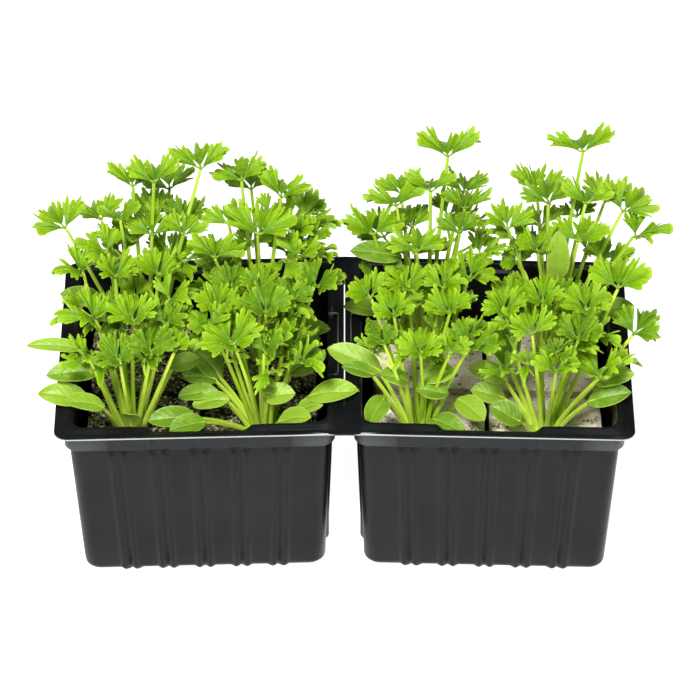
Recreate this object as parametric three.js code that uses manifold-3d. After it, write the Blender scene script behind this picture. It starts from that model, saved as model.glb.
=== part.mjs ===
// Potted parsley: a black double nursery pack, four pressed soil blocks in each cell
// and a tuft of young parsley rooted in every block.
// Millimetres, +Z up, the front of the pack faces -Y.
import * as THREE from "three";
import Module from "manifold-3d";

const wasm = await Module();
wasm.setup();

// Pack
const CELL = 100; // side of one cell's flange, and half the pack's width
const RIM_Z = 67; // top of the flange
const SHEET = 0.9; // thickness of the formed sheet
const FLOOR_Z = 1.2; // top of a cell's floor
const FLANGE_RADIUS = 5; // corner radius of the flange and of the walls
const BOW = 0.034; // the web sits further back than the pack's ends by this share of a cell
const WALL_TOP = 45; // half-width of a wall under the collar
const COLLAR = 45.4; // half-width of the collar in the middle of a side
const COLLAR_SWELL = 2; // how far the collar swells out towards the corners
const COLLAR_FOOT = { middle: 58, corner: 58.8 }; // heights of its lower edge
const RIM_ROOT = 55.6; // the rim's section runs down inside the wall to here
const MIDDLE_ZONE = 15; // half-length of the low stretch in the middle of each rim side
const CORNER_ZONE = 19; // from here to the corner the lip stands up
const LIP_UP = 1; // rise of the inner lip near the corners
const LIP_DOWN = -1.7; // drop of the inner lip in the middle of a side
const SLIT = { width: 0.4, front: -23, back: 38 }; // tear slit along the web
const WEB = 5.5; // half-width of the flat web between the cells
const WEB_INSET = 0.4; // the web's sides end this far inside the flange's edge
const WEB_WAIST = 2.2; // half-width of the web between the low stretches of the two rims
const WAIST_END = 17; // half-length of that waist
const RIB_PAIR_PITCH = 14.1;
const RIB_PAIRS = 5;
// One rib pair across: distance from the pair's middle and height above the wall.
const RIB_PROFILE = [
  [-4, 0],
  [-2.1, 1],
  [0, 0.1],
  [2.1, 1],
  [4, 0],
];
// Levels of a cell's outer wall: height, half-width, shift towards the web, rib height.
const WALL_LEVELS = [
  [0, 39.3, 0.8, 0],
  [3.2, 42.4, 0.75, 1],
  [56, WALL_TOP, 0, 1],
  [57.2, WALL_TOP, 0, 0],
];

// Soil blocks
const BLOCK = 40; // side of a pressed block
const SOIL_Z = 47.5; // top of the blocks
const BLOCK_X = 20.55; // block centres from the cell's centre
const BLOCK_FRONT = -21.9;
const BLOCK_BACK = 21.3;
const SEAT_GAP = 0.3; // play between pieces that touch
const HOLE_RADIUS = 6.8; // planting hole, six-sided
const HOLE_BOTTOM = 38;

// Parsley
const BLADE = 0.8; // blade thickness
const SIDE_ANGLE = 70; // angle between the middle leaflet and each side leaflet, degrees
const STEM_ROOT = 0.85; // stem radius at the crown
const STEM_TIP = 0.6; // and under the leaf
const STEM_ARCH = 0.06; // how far a stem bows, a share of its length
const SEED_STEM_ROOT = 0.85; // the same for a seed leaf's stalk
const SEED_STEM_TIP = 0.7;
const SEED_STEM_ARCH = 0.1;
const SEED_STEM_INTO = 1.2; // how far the stalk runs on into the seed leaf
const SEED_ARCH = 0.3; // how far a seed leaf arches
const CROWN_SHARE = 0.15; // how far towards its leaf each stem roots in the crown
const SIDE_ROOT = 4.7; // seed leaves root this far from the crown's middle
const SEED_LEAN = 0.38; // a seed leaf's upper face leans this far to the front, radians

// One cut leaflet seen from above: share of its length and angle from its midrib, degrees.
const LEAFLET = [
  [0.85, -28],
  [0.64, -13],
  [1, 0],
  [0.64, 13],
  [0.85, 28],
];
const LEAFLET_NECK = 0.16; // share of the length left between two leaflets
const FLAT_LEAF_CUP = 0.9; // slope at which a level leaf's side leaflets rise
const STEEP_LEAF_CUP = 0.4; // and those of a leaf lifted by STEEP_LIFT degrees or more
const STEEP_LIFT = 45;
const MIDDLE_CUP = 0.05; // slope of the middle leaflet
const SIDE_SIZE = 0.96; // a side leaflet's length as a share of the middle one's
const BANK = 0.35; // how much higher a side leaflet's inner edge is than its outer edge
const CURL = 0.15; // droop of the tips, a share of the leaflet's length
const FORK_BACK = 0.8; // the stem meets the blade this far behind the fork

// Each tuft: the middle of its crown, its three-part leaves as [x, y, z of the fork,
// length of a leaflet, direction the middle leaflet points to, its lift], and its simple
// seed leaves as [x, y, z of the blade's foot, x, y, z of its tip, width].
const TUFTS = {
  left_front_outer: {
    crown: [-74, -19.5],
    leaves: [
      [-82, -4, 113, 10.5, 150, 16],
      [-91, -8, 108, 9, 180, 6],
      [-79, -14, 110, 10, 115, 19],
      [-64, -9, 107, 9.5, 115, 22],
      [-60, -19, 104, 10, 35, 14],
      [-86, -27, 102, 12, 172, 9],
      [-72, -31, 104, 10.5, 100, 24],
      [-61, -30, 102, 9.5, 60, 20],
      [-88, -38, 93, 8.5, 205, 8],
      [-66, -39, 97, 10, 100, 27],
      [-58, -37, 96, 8, 80, 27],
      [-77, -40, 94, 9.5, 125, 27],
    ],
    simple: [
      [-89, -24, 86, -109.5, -25, 88.5, 5.5],
      [-84, -26, 78, -103, -27, 77, 8.5],
      [-88, -31, 69, -106, -31, 72, 9],
      [-83, -33, 67.5, -96.5, -36, 73, 7.5],
      [-61, -14, 70, -50, -13, 73, 7],
      [-74, -30, 56, -74.5, -33.5, 65, 7],
    ],
  },
  left_back_outer: {
    crown: [-70, 22],
    leaves: [
      [-97, 10, 113, 12, 120, 0],
      [-74, 29, 117, 10.5, 100, -8],
      [-66, 19, 126, 11.5, 88, 2],
      [-78, 12, 115, 9, 115, -8],
      [-67, 15, 106, 11, 90, 13],
      [-56, 29, 102, 10, 70, 6],
      [-56, 14, 107, 9, 80, 10],
      [-50, 27, 126, 12.5, 92, 0],
      [-86, 35, 98, 10, 115, -6],
      [-62, 46, 103, 10.5, 95, 6],
    ],
    simple: [
      [-84, 18, 72, -100, 13.5, 81, 8.5],
      [-76, 34, 68, -87.5, 45.5, 76, 8.5],
    ],
  },
  left_back_inner: {
    crown: [-29.5, 22],
    leaves: [
      [-36, 31, 118, 11, 95, 10],
      [-22, 25, 115, 11.5, 85, -5],
      [-40, 17, 109, 10, 80, 16],
      [-30, 10, 110, 13, 80, 16],
      [-14, 32, 99, 11, 10, 6],
      [-15, 18, 100, 10.5, 30, 6],
      [-16, 6, 103, 11, 50, 7],
      [-45, 6, 103, 11, 95, 11],
      [-33, 46, 103, 10.5, 95, 6],
      [-15, 45, 94, 9.5, 50, 6],
    ],
    simple: [
      [-21, 15, 62, -5, 10.5, 67.5, 8],
      [-19, 6, 63, -8.5, 8, 65.5, 8.5],
      [-39, 34, 68, -47, 47.5, 76, 8.5],
    ],
  },
  left_front_inner: {
    crown: [-28.5, -20],
    leaves: [
      [-39, -8, 101, 9, 85, 24],
      [-29, -11, 102, 9, 70, 20],
      [-43, -22, 101, 10, 95, 20],
      [-10, -9, 102, 11, 30, 14],
      [-18, -18, 102, 9, 80, 17],
      [-27, -25, 103, 11, 85, 24],
      [-46, -29, 100, 9.5, 125, 20],
      [-38, -35, 97, 12.5, 128, 27],
      [-27, -37, 95, 12.5, 48, 24],
    ],
    simple: [
      [-51, -31, 61, -68, -33.5, 62, 9],
      [-48, -34, 62, -60.5, -39.5, 62.5, 8],
      [-40, -23, 63, -53, -22, 59.5, 7.5],
      [-43.5, -10, 62, -54.5, -2, 71.5, 10.5],
      [-44, -19, 63, -58, -17, 59.5, 7],
      [-44.5, -12, 63, -56.5, -12, 64.5, 8],
      [-13, -25, 65.5, 5, -29.5, 72, 9.5],
      [-17, -28, 62, -7.5, -31, 67, 7.5],
      [-23, -33, 61, -11.5, -39, 68, 8.5],
      [-20, -12, 65, -6.5, -5, 69.5, 10.5],
      [-28, -30, 69.5, -17, -31, 72, 8.5],
      [-23.5, -29, 73, -31, -29.5, 74.5, 6],
    ],
  },
  right_back_inner: {
    crown: [29.5, 22],
    leaves: [
      [36, 30, 129, 12.5, 90, -5],
      [30, 23, 119, 11, 90, -8],
      [42, 21, 113, 10, 85, -8],
      [18, 20, 115, 12, 100, -4],
      [10, 14, 107, 12.5, 110, 19],
      [24, 29, 99, 8.5, 100, 6],
      [40, 10, 111, 9, 90, 13],
      [25, 7, 105, 10.5, 90, 13],
      [20, 45, 102, 10.5, 95, 6],
      [42, 44, 103, 10, 80, 6],
    ],
    simple: [
      [20, 14, 97, 2, 11.5, 101.5, 8.5],
      [13, 15, 72, -0.5, 11.5, 76.5, 7.5],
    ],
  },
  right_back_outer: {
    crown: [73, 22],
    leaves: [
      [83, 30, 131, 13.5, 90, -10],
      [71, 23, 114, 11, 90, 6],
      [84, 20, 116, 11, 80, 2],
      [97, 18, 114, 11.5, 60, 8],
      [101, 10, 109, 11, 15, 6],
      [81, 6, 110, 12, 70, 16],
      [57, 16, 108, 10, 100, 13],
      [67, 5, 106, 10, 90, 13],
      [92, 37, 104, 10.5, 60, 6],
      [68, 45, 103, 10.5, 95, 6],
    ],
    simple: [
      [74, 4, 94, 74, 5, 115.5, 8],
      [86, 15, 70, 102, 11.5, 77, 8.5],
    ],
  },
  right_front_inner: {
    crown: [26.5, -20],
    leaves: [
      [43, -7, 104, 10.5, 65, 24],
      [22, -11, 103, 10, 115, 24],
      [34, -14, 105, 9.5, 70, 24],
      [9, -13, 100, 10, 120, 20],
      [17, -25, 102, 9.5, 95, 24],
      [36, -25, 103, 10, 90, 20],
      [13, -35, 98, 7.5, 125, 17],
      [26, -38, 95, 10, 88, 27],
      [36, -36, 94, 8.5, 75, 20],
      [43, -32, 94, 11, 65, 24],
    ],
    simple: [
      [13, -14, 68, -6, -9.5, 75, 9.5],
      [10.5, -17, 69, -1, -17.5, 73, 6.5],
      [14, -27, 67.5, 8, -38.5, 64.5, 8],
      [30, -30, 60, 41.5, -39, 61, 8.5],
      [36, -31, 72, 24.5, -32, 74.5, 8.5],
      [22, -27, 74, 12.5, -28.5, 78.5, 8.5],
      [27, -27, 76, 38, -27.5, 79, 9],
      [39.5, -22.5, 63, 48.5, -33, 61.5, 9],
    ],
  },
  right_front_outer: {
    crown: [70, -19.5],
    leaves: [
      [94, -15, 106, 12.5, 80, 17],
      [83, -20, 100, 10.5, 90, 24],
      [55, -21, 100, 9.5, 108, 27],
      [68, -18, 102, 10, 85, 24],
      [64, -33, 100, 9.5, 100, 20],
      [80, -33, 98, 10.5, 75, 24],
      [72, -41, 90, 10, 95, 20],
      [88, -34, 82, 12.5, 50, 20],
      [100, -18, 88, 12, 50, 14],
    ],
    simple: [
      [61.5, -28, 56.5, 50.5, -25.5, 62, 9],
      [57, -13, 63, 43.5, -9.5, 66.5, 8.5],
      [56, -17, 58.5, 44, -16, 61.5, 8.5],
      [57, -11, 68, 57, -4, 88.5, 9],
      [84, -30, 67, 99, -31, 72.5, 9],
      [86, -26, 73, 100, -27, 77.5, 8.5],
      [84, -9, 84, 93, -2, 91, 8.5],
    ],
  },
};

// Colours
const look = (color, roughness) =>
  new THREE.MeshStandardMaterial({ color, roughness, metalness: 0 });
const POT_LOOK = look(0x1c2024, 0.45);
const SOIL_LOOK = { left: look(0x3d2f22, 0.95), right: look(0x7a6647, 0.95) };
const LEAF_LOOK = look(0x6fae1f, 0.5);

const radians = THREE.MathUtils.degToRad;
const mix = THREE.MathUtils.lerp;

// A repeatable draw between 0 and 1 for the small unevenness of grown things.
function dice(seed) {
  let state = seed >>> 0;
  return () => {
    state = (state + 0x6d2b79f5) >>> 0;
    let t = Math.imul(state ^ (state >>> 15), state | 1);
    t ^= t + Math.imul(t ^ (t >>> 7), t | 61);
    return ((t ^ (t >>> 14)) >>> 0) / 4294967296;
  };
}

function solid(points, faces) {
  return new wasm.Manifold(
    new wasm.Mesh({
      numProp: 3,
      vertProperties: new Float32Array(points.flat()),
      triVerts: new Uint32Array(faces.flat()),
    }),
  );
}

// The band of faces between ring r and ring r + 1 of n points each.
function band(faces, lower, upper, n) {
  for (let i = 0; i < n; i++) {
    const j = (i + 1) % n;
    faces.push([lower + i, lower + j, upper + j], [lower + i, upper + j, upper + i]);
  }
}

// A solid through rings of points that run anticlockwise seen from its far end.
function loft(rings) {
  const n = rings[0].length;
  const points = rings.flat();
  const faces = [];
  for (let r = 0; r + 1 < rings.length; r++) band(faces, r * n, (r + 1) * n, n);
  const last = (rings.length - 1) * n;
  for (let i = 1; i + 1 < n; i++)
    faces.push([0, i + 1, i], [last, last + i, last + i + 1]);
  return solid(points, faces);
}

// Moves points of a cell centred on x into the pack's slight bow.
const bowed = ([x, y, z]) => [x, y + BOW * (CELL - Math.abs(x)), z];

// Corners of a rounded square, anticlockwise. `stations` are [place along a side, offset
// outwards] pairs; every side carries them, with an arc of a few steps at each corner.
function roundedSquare(half, radius, stations, steps = 3) {
  const straight = half - radius;
  const outline = [];
  for (let side = 0; side < 4; side++) {
    const turn = (side * Math.PI) / 2;
    const place = (along, out) =>
      outline.push({
        x: Math.cos(turn) * out - Math.sin(turn) * along,
        y: Math.sin(turn) * out + Math.cos(turn) * along,
        along,
      });
    place(-straight, half);
    for (const [along, offset] of stations) place(along, half + offset);
    for (let step = 0; step < steps; step++) {
      const a = (step * Math.PI) / 2 / steps;
      place(straight + radius * Math.sin(a), straight + radius * Math.cos(a));
    }
  }
  return outline;
}

// The pack: two ribbed cells, each with a swept rim, joined by the web with its slit.
function ribbedRing([z, half, shift, ribs], inward) {
  const stations = [];
  for (let pair = 0; pair < RIB_PAIRS; pair++) {
    const middle = (pair - (RIB_PAIRS - 1) / 2) * RIB_PAIR_PITCH;
    for (const [across, height] of RIB_PROFILE)
      stations.push([(middle + across) * (half / WALL_TOP), height * ribs]);
  }
  return roundedSquare(half, FLANGE_RADIUS, stations).map(({ x, y }) => [
    x + shift * inward,
    y,
    z,
  ]);
}

function plainRing(z, half, shift = 0) {
  return roundedSquare(half, FLANGE_RADIUS, []).map(({ x, y }) => [x + shift, y, z]);
}

// 0 in the low middle of a rim side, 1 near its corners.
function cornerShare(along) {
  const t = (Math.abs(along) - MIDDLE_ZONE) / (CORNER_ZONE - MIDDLE_ZONE);
  return THREE.MathUtils.smoothstep(t, 0, 1);
}

// Section of the rim from the flange's outer edge over the lip, down inside and back out
// under the collar, as [half-width, height].
function rimSection(along) {
  const corner = cornerShare(along);
  const lip = mix(LIP_DOWN, LIP_UP, corner);
  const collar = COLLAR + COLLAR_SWELL * corner;
  const collarFoot = mix(COLLAR_FOOT.middle, COLLAR_FOOT.corner, corner);
  return [
    [CELL / 2, RIM_Z],
    [47.6, RIM_Z],
    [45, RIM_Z + lip],
    [43.9, RIM_Z + lip - SHEET],
    [44.3, RIM_ROOT],
    [44.6, collarFoot - 0.5],
    [collar, collarFoot],
    [collar, RIM_Z - SHEET + Math.min(lip, 0) - 0.1],
    [CELL / 2, RIM_Z - SHEET],
  ];
}

function rim() {
  const stations = [-CORNER_ZONE, -MIDDLE_ZONE, MIDDLE_ZONE, CORNER_ZONE];
  const sides = stations.map((along) => [along, 0]);
  const guide = roundedSquare(CELL / 2, FLANGE_RADIUS, sides);
  const sections = guide.map(({ along }) => rimSection(along));
  const rings = sections[0].map((_, level) =>
    guide.map((_, i) => {
      const [half, z] = sections[i][level];
      const spot = roundedSquare(half, FLANGE_RADIUS, sides)[i];
      return [spot.x, spot.y, z];
    }),
  );
  const n = guide.length;
  const faces = [];
  rings.forEach((_, r) => band(faces, r * n, ((r + 1) % rings.length) * n, n));
  return solid(rings.flat(), faces);
}

function mapped(shape, move) {
  const mesh = shape.getMesh();
  const points = [];
  for (let i = 0; i < mesh.vertProperties.length; i += mesh.numProp)
    points.push(move([...mesh.vertProperties.slice(i, i + 3)]));
  const faces = [];
  for (let i = 0; i < mesh.triVerts.length; i += 3)
    faces.push([...mesh.triVerts.slice(i, i + 3)]);
  return solid(points, faces);
}

function cell(side) {
  const inward = -side;
  const wall = loft(WALL_LEVELS.map((level) => ribbedRing(level, inward)));
  const hollow = loft([
    plainRing(FLOOR_Z, 38.9, 0.8 * inward),
    plainRing(4, 41.5, 0.75 * inward),
    plainRing(60, WALL_TOP - SHEET),
  ]);
  const whole = wall.subtract(hollow).add(rim());
  return mapped(whole, ([x, y, z]) => bowed([x + (side * CELL) / 2, y, z]));
}

function plank(corners, bottom, top) {
  const ring = (z) => corners.map(([x, y]) => [x, y, z]);
  return loft([ring(bottom), ring(top)]);
}

function pack() {
  const end = CELL / 2;
  const drop = BOW * WEB;
  const peak = BOW * CELL;
  const front = -end + peak - drop + WEB_INSET;
  const back = end + peak - drop - WEB_INSET;
  const web = plank(
    [
      [0, -end + peak],
      [WEB, front],
      [WEB, back],
      [0, end + peak],
      [-WEB, back],
      [-WEB, front],
    ],
    RIM_Z - SHEET,
    RIM_Z,
  );
  const reach = SLIT.width / 2;
  const slit = plank(
    [
      [-reach, SLIT.front],
      [reach, SLIT.front],
      [reach, SLIT.back],
      [-reach, SLIT.back],
    ],
    RIM_Z - 3,
    RIM_Z + 3,
  );
  const notch = (side) =>
    plank(
      [
        [side * WEB_WAIST, peak - side * WAIST_END],
        [side * (WEB + 1), peak - side * WAIST_END],
        [side * (WEB + 1), peak + side * WAIST_END],
        [side * WEB_WAIST, peak + side * WAIST_END],
      ],
      RIM_Z - 3,
      RIM_Z + 3,
    );
  const waisted = web.subtract(notch(-1)).subtract(notch(1));
  return cell(-1).add(cell(1)).add(waisted).subtract(slit);
}

// A pressed block: tapered foot, straight sides, crumbly top with a planting hole.
function block(x, y, crown, seed) {
  const roll = dice(seed);
  const levels = [
    [FLOOR_Z + SEAT_GAP, BLOCK / 2 - 5.2, 0],
    [8, BLOCK / 2 - 1, 0.2],
    [SOIL_Z - 1.4, BLOCK / 2, 0.5],
    [SOIL_Z - 0.1, BLOCK / 2 - 1.5, 0.9],
  ];
  const rings = levels.map(([z, half, rough], level) =>
    roundedSquare(half, 2.5, [], 2).map((p) => [
      x + p.x - Math.sign(p.x) * rough * roll() * 0.6,
      y + p.y - Math.sign(p.y) * rough * roll() * 0.6,
      z + (level > 1 ? rough * (roll() - 0.5) * 0.7 : 0),
    ]),
  );
  const hole = hexagon(crown, HOLE_RADIUS, HOLE_BOTTOM, SOIL_Z + 3);
  return mapped(loft(rings), bowed).subtract(hole);
}

function hexagon([x, y], radius, bottom, top, topRadius = radius) {
  const ring = (r, z) =>
    [0, 60, 120, 180, 240, 300].map((a) => [
      x + r * Math.cos(radians(a)),
      y + r * Math.sin(radians(a)),
      z,
    ]);
  return loft([ring(radius, bottom), ring(topRadius, top)]);
}

// A three-sided stalk along a bent line from `start` to `end`.
function stalk(start, end, rootRadius, tipRadius, steps, arch) {
  const from = new THREE.Vector3(...start);
  const to = new THREE.Vector3(...end);
  const bend = from.clone().lerp(to, 0.5);
  bend.z += arch * from.distanceTo(to);
  const line = new THREE.QuadraticBezierCurve3(from, bend, to);
  const rings = [];
  for (let step = 0; step <= steps; step++) {
    const t = step / steps;
    const centre = line.getPoint(t);
    const along = line.getTangent(t);
    const side = new THREE.Vector3(0.31, 0.95, 0).cross(along).normalize();
    const other = along.clone().cross(side);
    const radius = mix(rootRadius, tipRadius, t);
    rings.push(
      [0, 120, 240].map((angle) =>
        centre
          .clone()
          .addScaledVector(side, radius * Math.cos(radians(angle)))
          .addScaledVector(other, radius * Math.sin(radians(angle)))
          .toArray(),
      ),
    );
  }
  return loft(rings);
}

// A thin blade whose edge is `edge`, a closed line of [point, normal] pairs running
// anticlockwise round `heart`, the point that the blade's folds meet in.
function blade(heart, heartNormal, edge) {
  const points = [];
  const lift = (point, normal, side) =>
    points.push(point.clone().addScaledVector(normal, (side * BLADE) / 2).toArray());
  for (const side of [1, -1]) {
    lift(heart, heartNormal, side);
    for (const [point, normal] of edge) lift(point, normal, side);
  }
  const n = edge.length;
  const lower = n + 1;
  const faces = [];
  for (let i = 0; i < n; i++) {
    const a = 1 + i;
    const b = 1 + ((i + 1) % n);
    faces.push([0, a, b], [lower, lower + b, lower + a]);
    faces.push([a, lower + a, lower + b], [a, lower + b, b]);
  }
  return solid(points, faces);
}

// Right, ahead and up for a blade that points to `face` and is lifted and rolled.
function bladeFrame(ahead, roll) {
  const right = new THREE.Vector3().crossVectors(ahead, new THREE.Vector3(0, 0, 1));
  right.normalize();
  const up = new THREE.Vector3().crossVectors(right, ahead);
  const turn = new THREE.Quaternion().setFromAxisAngle(ahead, roll);
  return [right.applyQuaternion(turn), up.applyQuaternion(turn)];
}

function pointing(face, tilt) {
  const flat = Math.cos(radians(tilt));
  return new THREE.Vector3(
    flat * Math.cos(radians(face)),
    flat * Math.sin(radians(face)),
    Math.sin(radians(tilt)),
  );
}

// A three-part parsley leaf: three fan-shaped cut leaflets that rise round the fork.
function threePartLeaf([x, y, z, length, face, tilt], roll) {
  const heart = new THREE.Vector3(x, y, z);
  const ahead = pointing(face, tilt);
  const [right, up] = bladeFrame(ahead, roll);
  const edge = [];
  // Each leaflet lies round its own midrib, which is turned in the plane of the leaf.
  const place = (turn, along, across, rise, normal = up) => {
    const c = Math.cos(radians(turn));
    const s = Math.sin(radians(turn));
    const point = heart
      .clone()
      .addScaledVector(ahead, along * c - across * s)
      .addScaledVector(right, -along * s - across * c)
      .addScaledVector(up, rise);
    edge.push([point, normal]);
  };
  const steepness = THREE.MathUtils.clamp(tilt / STEEP_LIFT, 0, 1);
  const cup = mix(FLAT_LEAF_CUP, STEEP_LEAF_CUP, steepness);
  const neck = length * LEAFLET_NECK;
  for (const leaflet of [-1, 0, 1]) {
    const size = length * (leaflet ? SIDE_SIZE : 1);
    const slope = leaflet ? cup : MIDDLE_CUP;
    const shrink = 1 / Math.hypot(1, slope);
    const turn = leaflet * SIDE_ANGLE;
    const normal = up
      .clone()
      .addScaledVector(ahead, -slope * Math.cos(radians(turn)))
      .addScaledVector(right, slope * Math.sin(radians(turn)))
      .normalize();
    for (const [share, angle] of LEAFLET) {
      const reach = share * size;
      const across = reach * Math.sin(radians(angle));
      const rise = reach * slope * shrink - leaflet * BANK * across;
      const along = reach * Math.cos(radians(angle)) * shrink;
      place(turn, along, across, rise - size * CURL * share ** 3, normal);
    }
    place(turn + SIDE_ANGLE / 2, neck, 0, 0);
  }
  edge.pop();
  place(180, neck * 0.9, 0, 0);
  return blade(heart, up, edge);
}

// A simple seed leaf from its foot to its tip, arched along its midrib.
function simpleLeaf([x, y, z, tipX, tipY, tipZ, width]) {
  const foot = new THREE.Vector3(x, y, z);
  const tip = new THREE.Vector3(tipX, tipY, tipZ);
  const ahead = tip.clone().sub(foot);
  const length = ahead.length();
  ahead.normalize();
  const [right, up] = bladeFrame(ahead, SEED_LEAN * ahead.x);
  const half = [
    [0, 0.14],
    [0.3, 0.78],
    [0.7, 0.94],
  ];
  const outline = [
    ...half.map(([along, out]) => [along, out]),
    [1, 0],
    ...half.map(([along, out]) => [along, -out]).reverse(),
  ];
  const at = (along, out) =>
    foot
      .clone()
      .addScaledVector(ahead, along * length)
      .addScaledVector(right, (out * width) / 2)
      .addScaledVector(up, length * SEED_ARCH * along * (1 - along) + Math.abs(out) * 0.6);
  const edge = outline.map(([along, out]) => [at(along, out), up]);
  return blade(at(0.5, 0), up, edge);
}

function tuft({ crown, leaves, simple }, seed) {
  const roll = dice(seed);
  const [cx, cy] = crown;
  const playRadius = HOLE_RADIUS - SEAT_GAP / Math.cos(Math.PI / 6);
  let whole = hexagon(crown, playRadius, HOLE_BOTTOM + SEAT_GAP, SOIL_Z + 0.9, 5.2);
  const rootFor = (x, y) => [
    mix(cx, x, CROWN_SHARE),
    mix(cy, y, CROWN_SHARE),
    SOIL_Z - 0.6,
  ];
  const sideRootFor = (x, y) => {
    const share = SIDE_ROOT / Math.hypot(x - cx, y - cy);
    return [mix(cx, x, share), mix(cy, y, share), SOIL_Z + 0.2];
  };
  for (const leaf of leaves) {
    const [x, y, z, , face, tilt] = leaf;
    const end = new THREE.Vector3(x, y, z).addScaledVector(pointing(face, tilt), -FORK_BACK);
    const root = rootFor(x, y);
    whole = whole.add(stalk(root, end.toArray(), STEM_ROOT, STEM_TIP, 2, STEM_ARCH));
    whole = whole.add(threePartLeaf(leaf, (roll() - 0.5) * 0.5));
  }
  for (const leaf of simple) {
    const [x, y, z, tipX, tipY, tipZ] = leaf;
    const into = SEED_STEM_INTO / Math.hypot(tipX - x, tipY - y, tipZ - z);
    const end = [mix(x, tipX, into), mix(y, tipY, into), mix(z, tipZ, into)];
    const root = sideRootFor(x, y);
    whole = whole.add(stalk(root, end, SEED_STEM_ROOT, SEED_STEM_TIP, 1, SEED_STEM_ARCH));
    whole = whole.add(simpleLeaf(leaf));
  }
  return whole;
}

function named(name, shape, material) {
  const made = shape.getMesh();
  const geometry = new THREE.BufferGeometry();
  geometry.setAttribute("position", new THREE.BufferAttribute(made.vertProperties, 3));
  geometry.setIndex(new THREE.BufferAttribute(made.triVerts, 1));
  geometry.computeVertexNormals();
  const mesh = new THREE.Mesh(geometry, material);
  mesh.name = name;
  return mesh;
}

const pottedParsley = new THREE.Group();
pottedParsley.add(named("double_pot", pack(), POT_LOOK));
Object.entries(TUFTS).forEach(([place, tuftOf], index) => {
  const [cellSide, row, column] = place.split("_");
  const cellX = ((cellSide === "left" ? -1 : 1) * CELL) / 2;
  const outward = (cellSide === "left" ? -1 : 1) * (column === "outer" ? 1 : -1);
  const x = cellX + outward * BLOCK_X;
  const y = row === "front" ? BLOCK_FRONT : BLOCK_BACK;
  const soil = block(x, y, tuftOf.crown, 100 + index);
  pottedParsley.add(named(`soil_block_${place}`, soil, SOIL_LOOK[cellSide]));
  pottedParsley.add(named(`parsley_${place}`, tuft(tuftOf, 7 + index), LEAF_LOOK));
});

// The origin is at the bottom, in the middle of the whole thing's footprint.
const footprint = new THREE.Box3().setFromObject(pottedParsley);
const middle = footprint.getCenter(new THREE.Vector3());
pottedParsley.position.set(-middle.x, -middle.y, 0);

export default pottedParsley;
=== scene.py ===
# Potted parsley: the fine surfaces of the pack, its soil blocks and its plants, a plain
# studio and a camera. Shapes are worked out in the pack's own millimetres, whose origin is
# on the surface under the middle of the web, and moved into the frame when they are made.
import functools
import math

import bpy
import numpy as np
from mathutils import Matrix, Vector, noise


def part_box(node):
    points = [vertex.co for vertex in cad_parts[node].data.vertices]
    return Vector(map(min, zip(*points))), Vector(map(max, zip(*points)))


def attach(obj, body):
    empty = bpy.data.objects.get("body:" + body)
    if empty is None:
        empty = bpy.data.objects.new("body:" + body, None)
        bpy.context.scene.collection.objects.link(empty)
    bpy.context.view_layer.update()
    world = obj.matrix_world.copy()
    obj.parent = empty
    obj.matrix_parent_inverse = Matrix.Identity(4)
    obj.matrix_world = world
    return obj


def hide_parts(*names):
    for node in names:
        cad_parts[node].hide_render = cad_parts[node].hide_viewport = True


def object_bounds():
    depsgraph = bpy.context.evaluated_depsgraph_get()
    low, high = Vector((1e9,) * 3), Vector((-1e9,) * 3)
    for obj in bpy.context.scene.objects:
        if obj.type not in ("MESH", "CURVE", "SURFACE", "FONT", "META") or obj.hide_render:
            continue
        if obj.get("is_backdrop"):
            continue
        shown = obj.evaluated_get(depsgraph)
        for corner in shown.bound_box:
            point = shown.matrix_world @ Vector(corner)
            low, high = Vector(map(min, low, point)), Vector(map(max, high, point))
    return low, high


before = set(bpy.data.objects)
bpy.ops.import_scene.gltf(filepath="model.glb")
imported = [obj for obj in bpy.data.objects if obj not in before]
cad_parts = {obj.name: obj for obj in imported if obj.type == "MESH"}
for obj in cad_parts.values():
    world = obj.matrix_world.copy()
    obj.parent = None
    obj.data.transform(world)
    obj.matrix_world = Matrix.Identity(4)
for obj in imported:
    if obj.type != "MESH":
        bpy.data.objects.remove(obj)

CAD_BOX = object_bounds()
MM = 0.001

# Pack
CELL = 100  # side of one cell's flange
RIM_Z = 67
SHEET = 0.8
FLOOR_Z = 1.2
CORNER_RADIUS = 5
BOW = 0.034  # the web sits further back than the pack's ends by this share of a cell
CAP = 20  # half-width of the flat face in the middle of a cell's floor and underside
FOOT_EDGE = 38.5  # half-width of the underside where the foot's curve starts
FOOT_OUT = 3.9  # how far that curve goes out
FOOT_UP = 3.2  # and up
FOOT_SHIFT = 0.8  # the foot stands this much nearer the other cell than the rim does
WALL_LOW = 3
WALL_SHIFT = 0.75  # the same at the height WALL_LOW; it fades up to RIB_TOP
WALL_TOP = 45  # half-width of a wall under the collar
WALL_INSIDE = 41.5  # half-width inside a wall at its foot
RIB_TOP = 56  # from here up to RIB_END the ribs fade out
RIB_END = 57.2
COLLAR = 45.4  # half-width of the collar in the middle of a side
COLLAR_SWELL = 1.3  # how much wider it is near the corners
COLLAR_FOOT = {"middle": 58, "corner": 58.8}
COLLAR_SHEEN_SPAN = (29, 35)  # from and to where along a side the collar's painted sheen grows
MIDDLE_ZONE = 15  # half-length of the low stretch of a rim side
CORNER_ZONE = 19  # from here on the rim has its full height
LIP_UP = 1  # the inner lip over the flange near the corners
LIP_DOWN = -1.7  # and in the low stretch
SLIT = {"width": 0.4, "front": -23, "back": 38}
WEB = 5.5  # half-width of the web between the cells
WEB_WAIST = 2.2  # the same between the low stretches of the two rims
WAIST_END = 17
RIB_PAIR_PITCH = 14.1
RIB_PAIRS = 5
RIB_SPACING = 4.2  # between the two ribs of a pair
RIB_HALF = 2.05  # half-width of one rib
RIB_OFFSETS = (-4.15, -3.6, -3.0, -2.5, -2.1, -1.7, -1.2, -0.6)  # points across half a pair
CORNER_STEPS = 8

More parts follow.
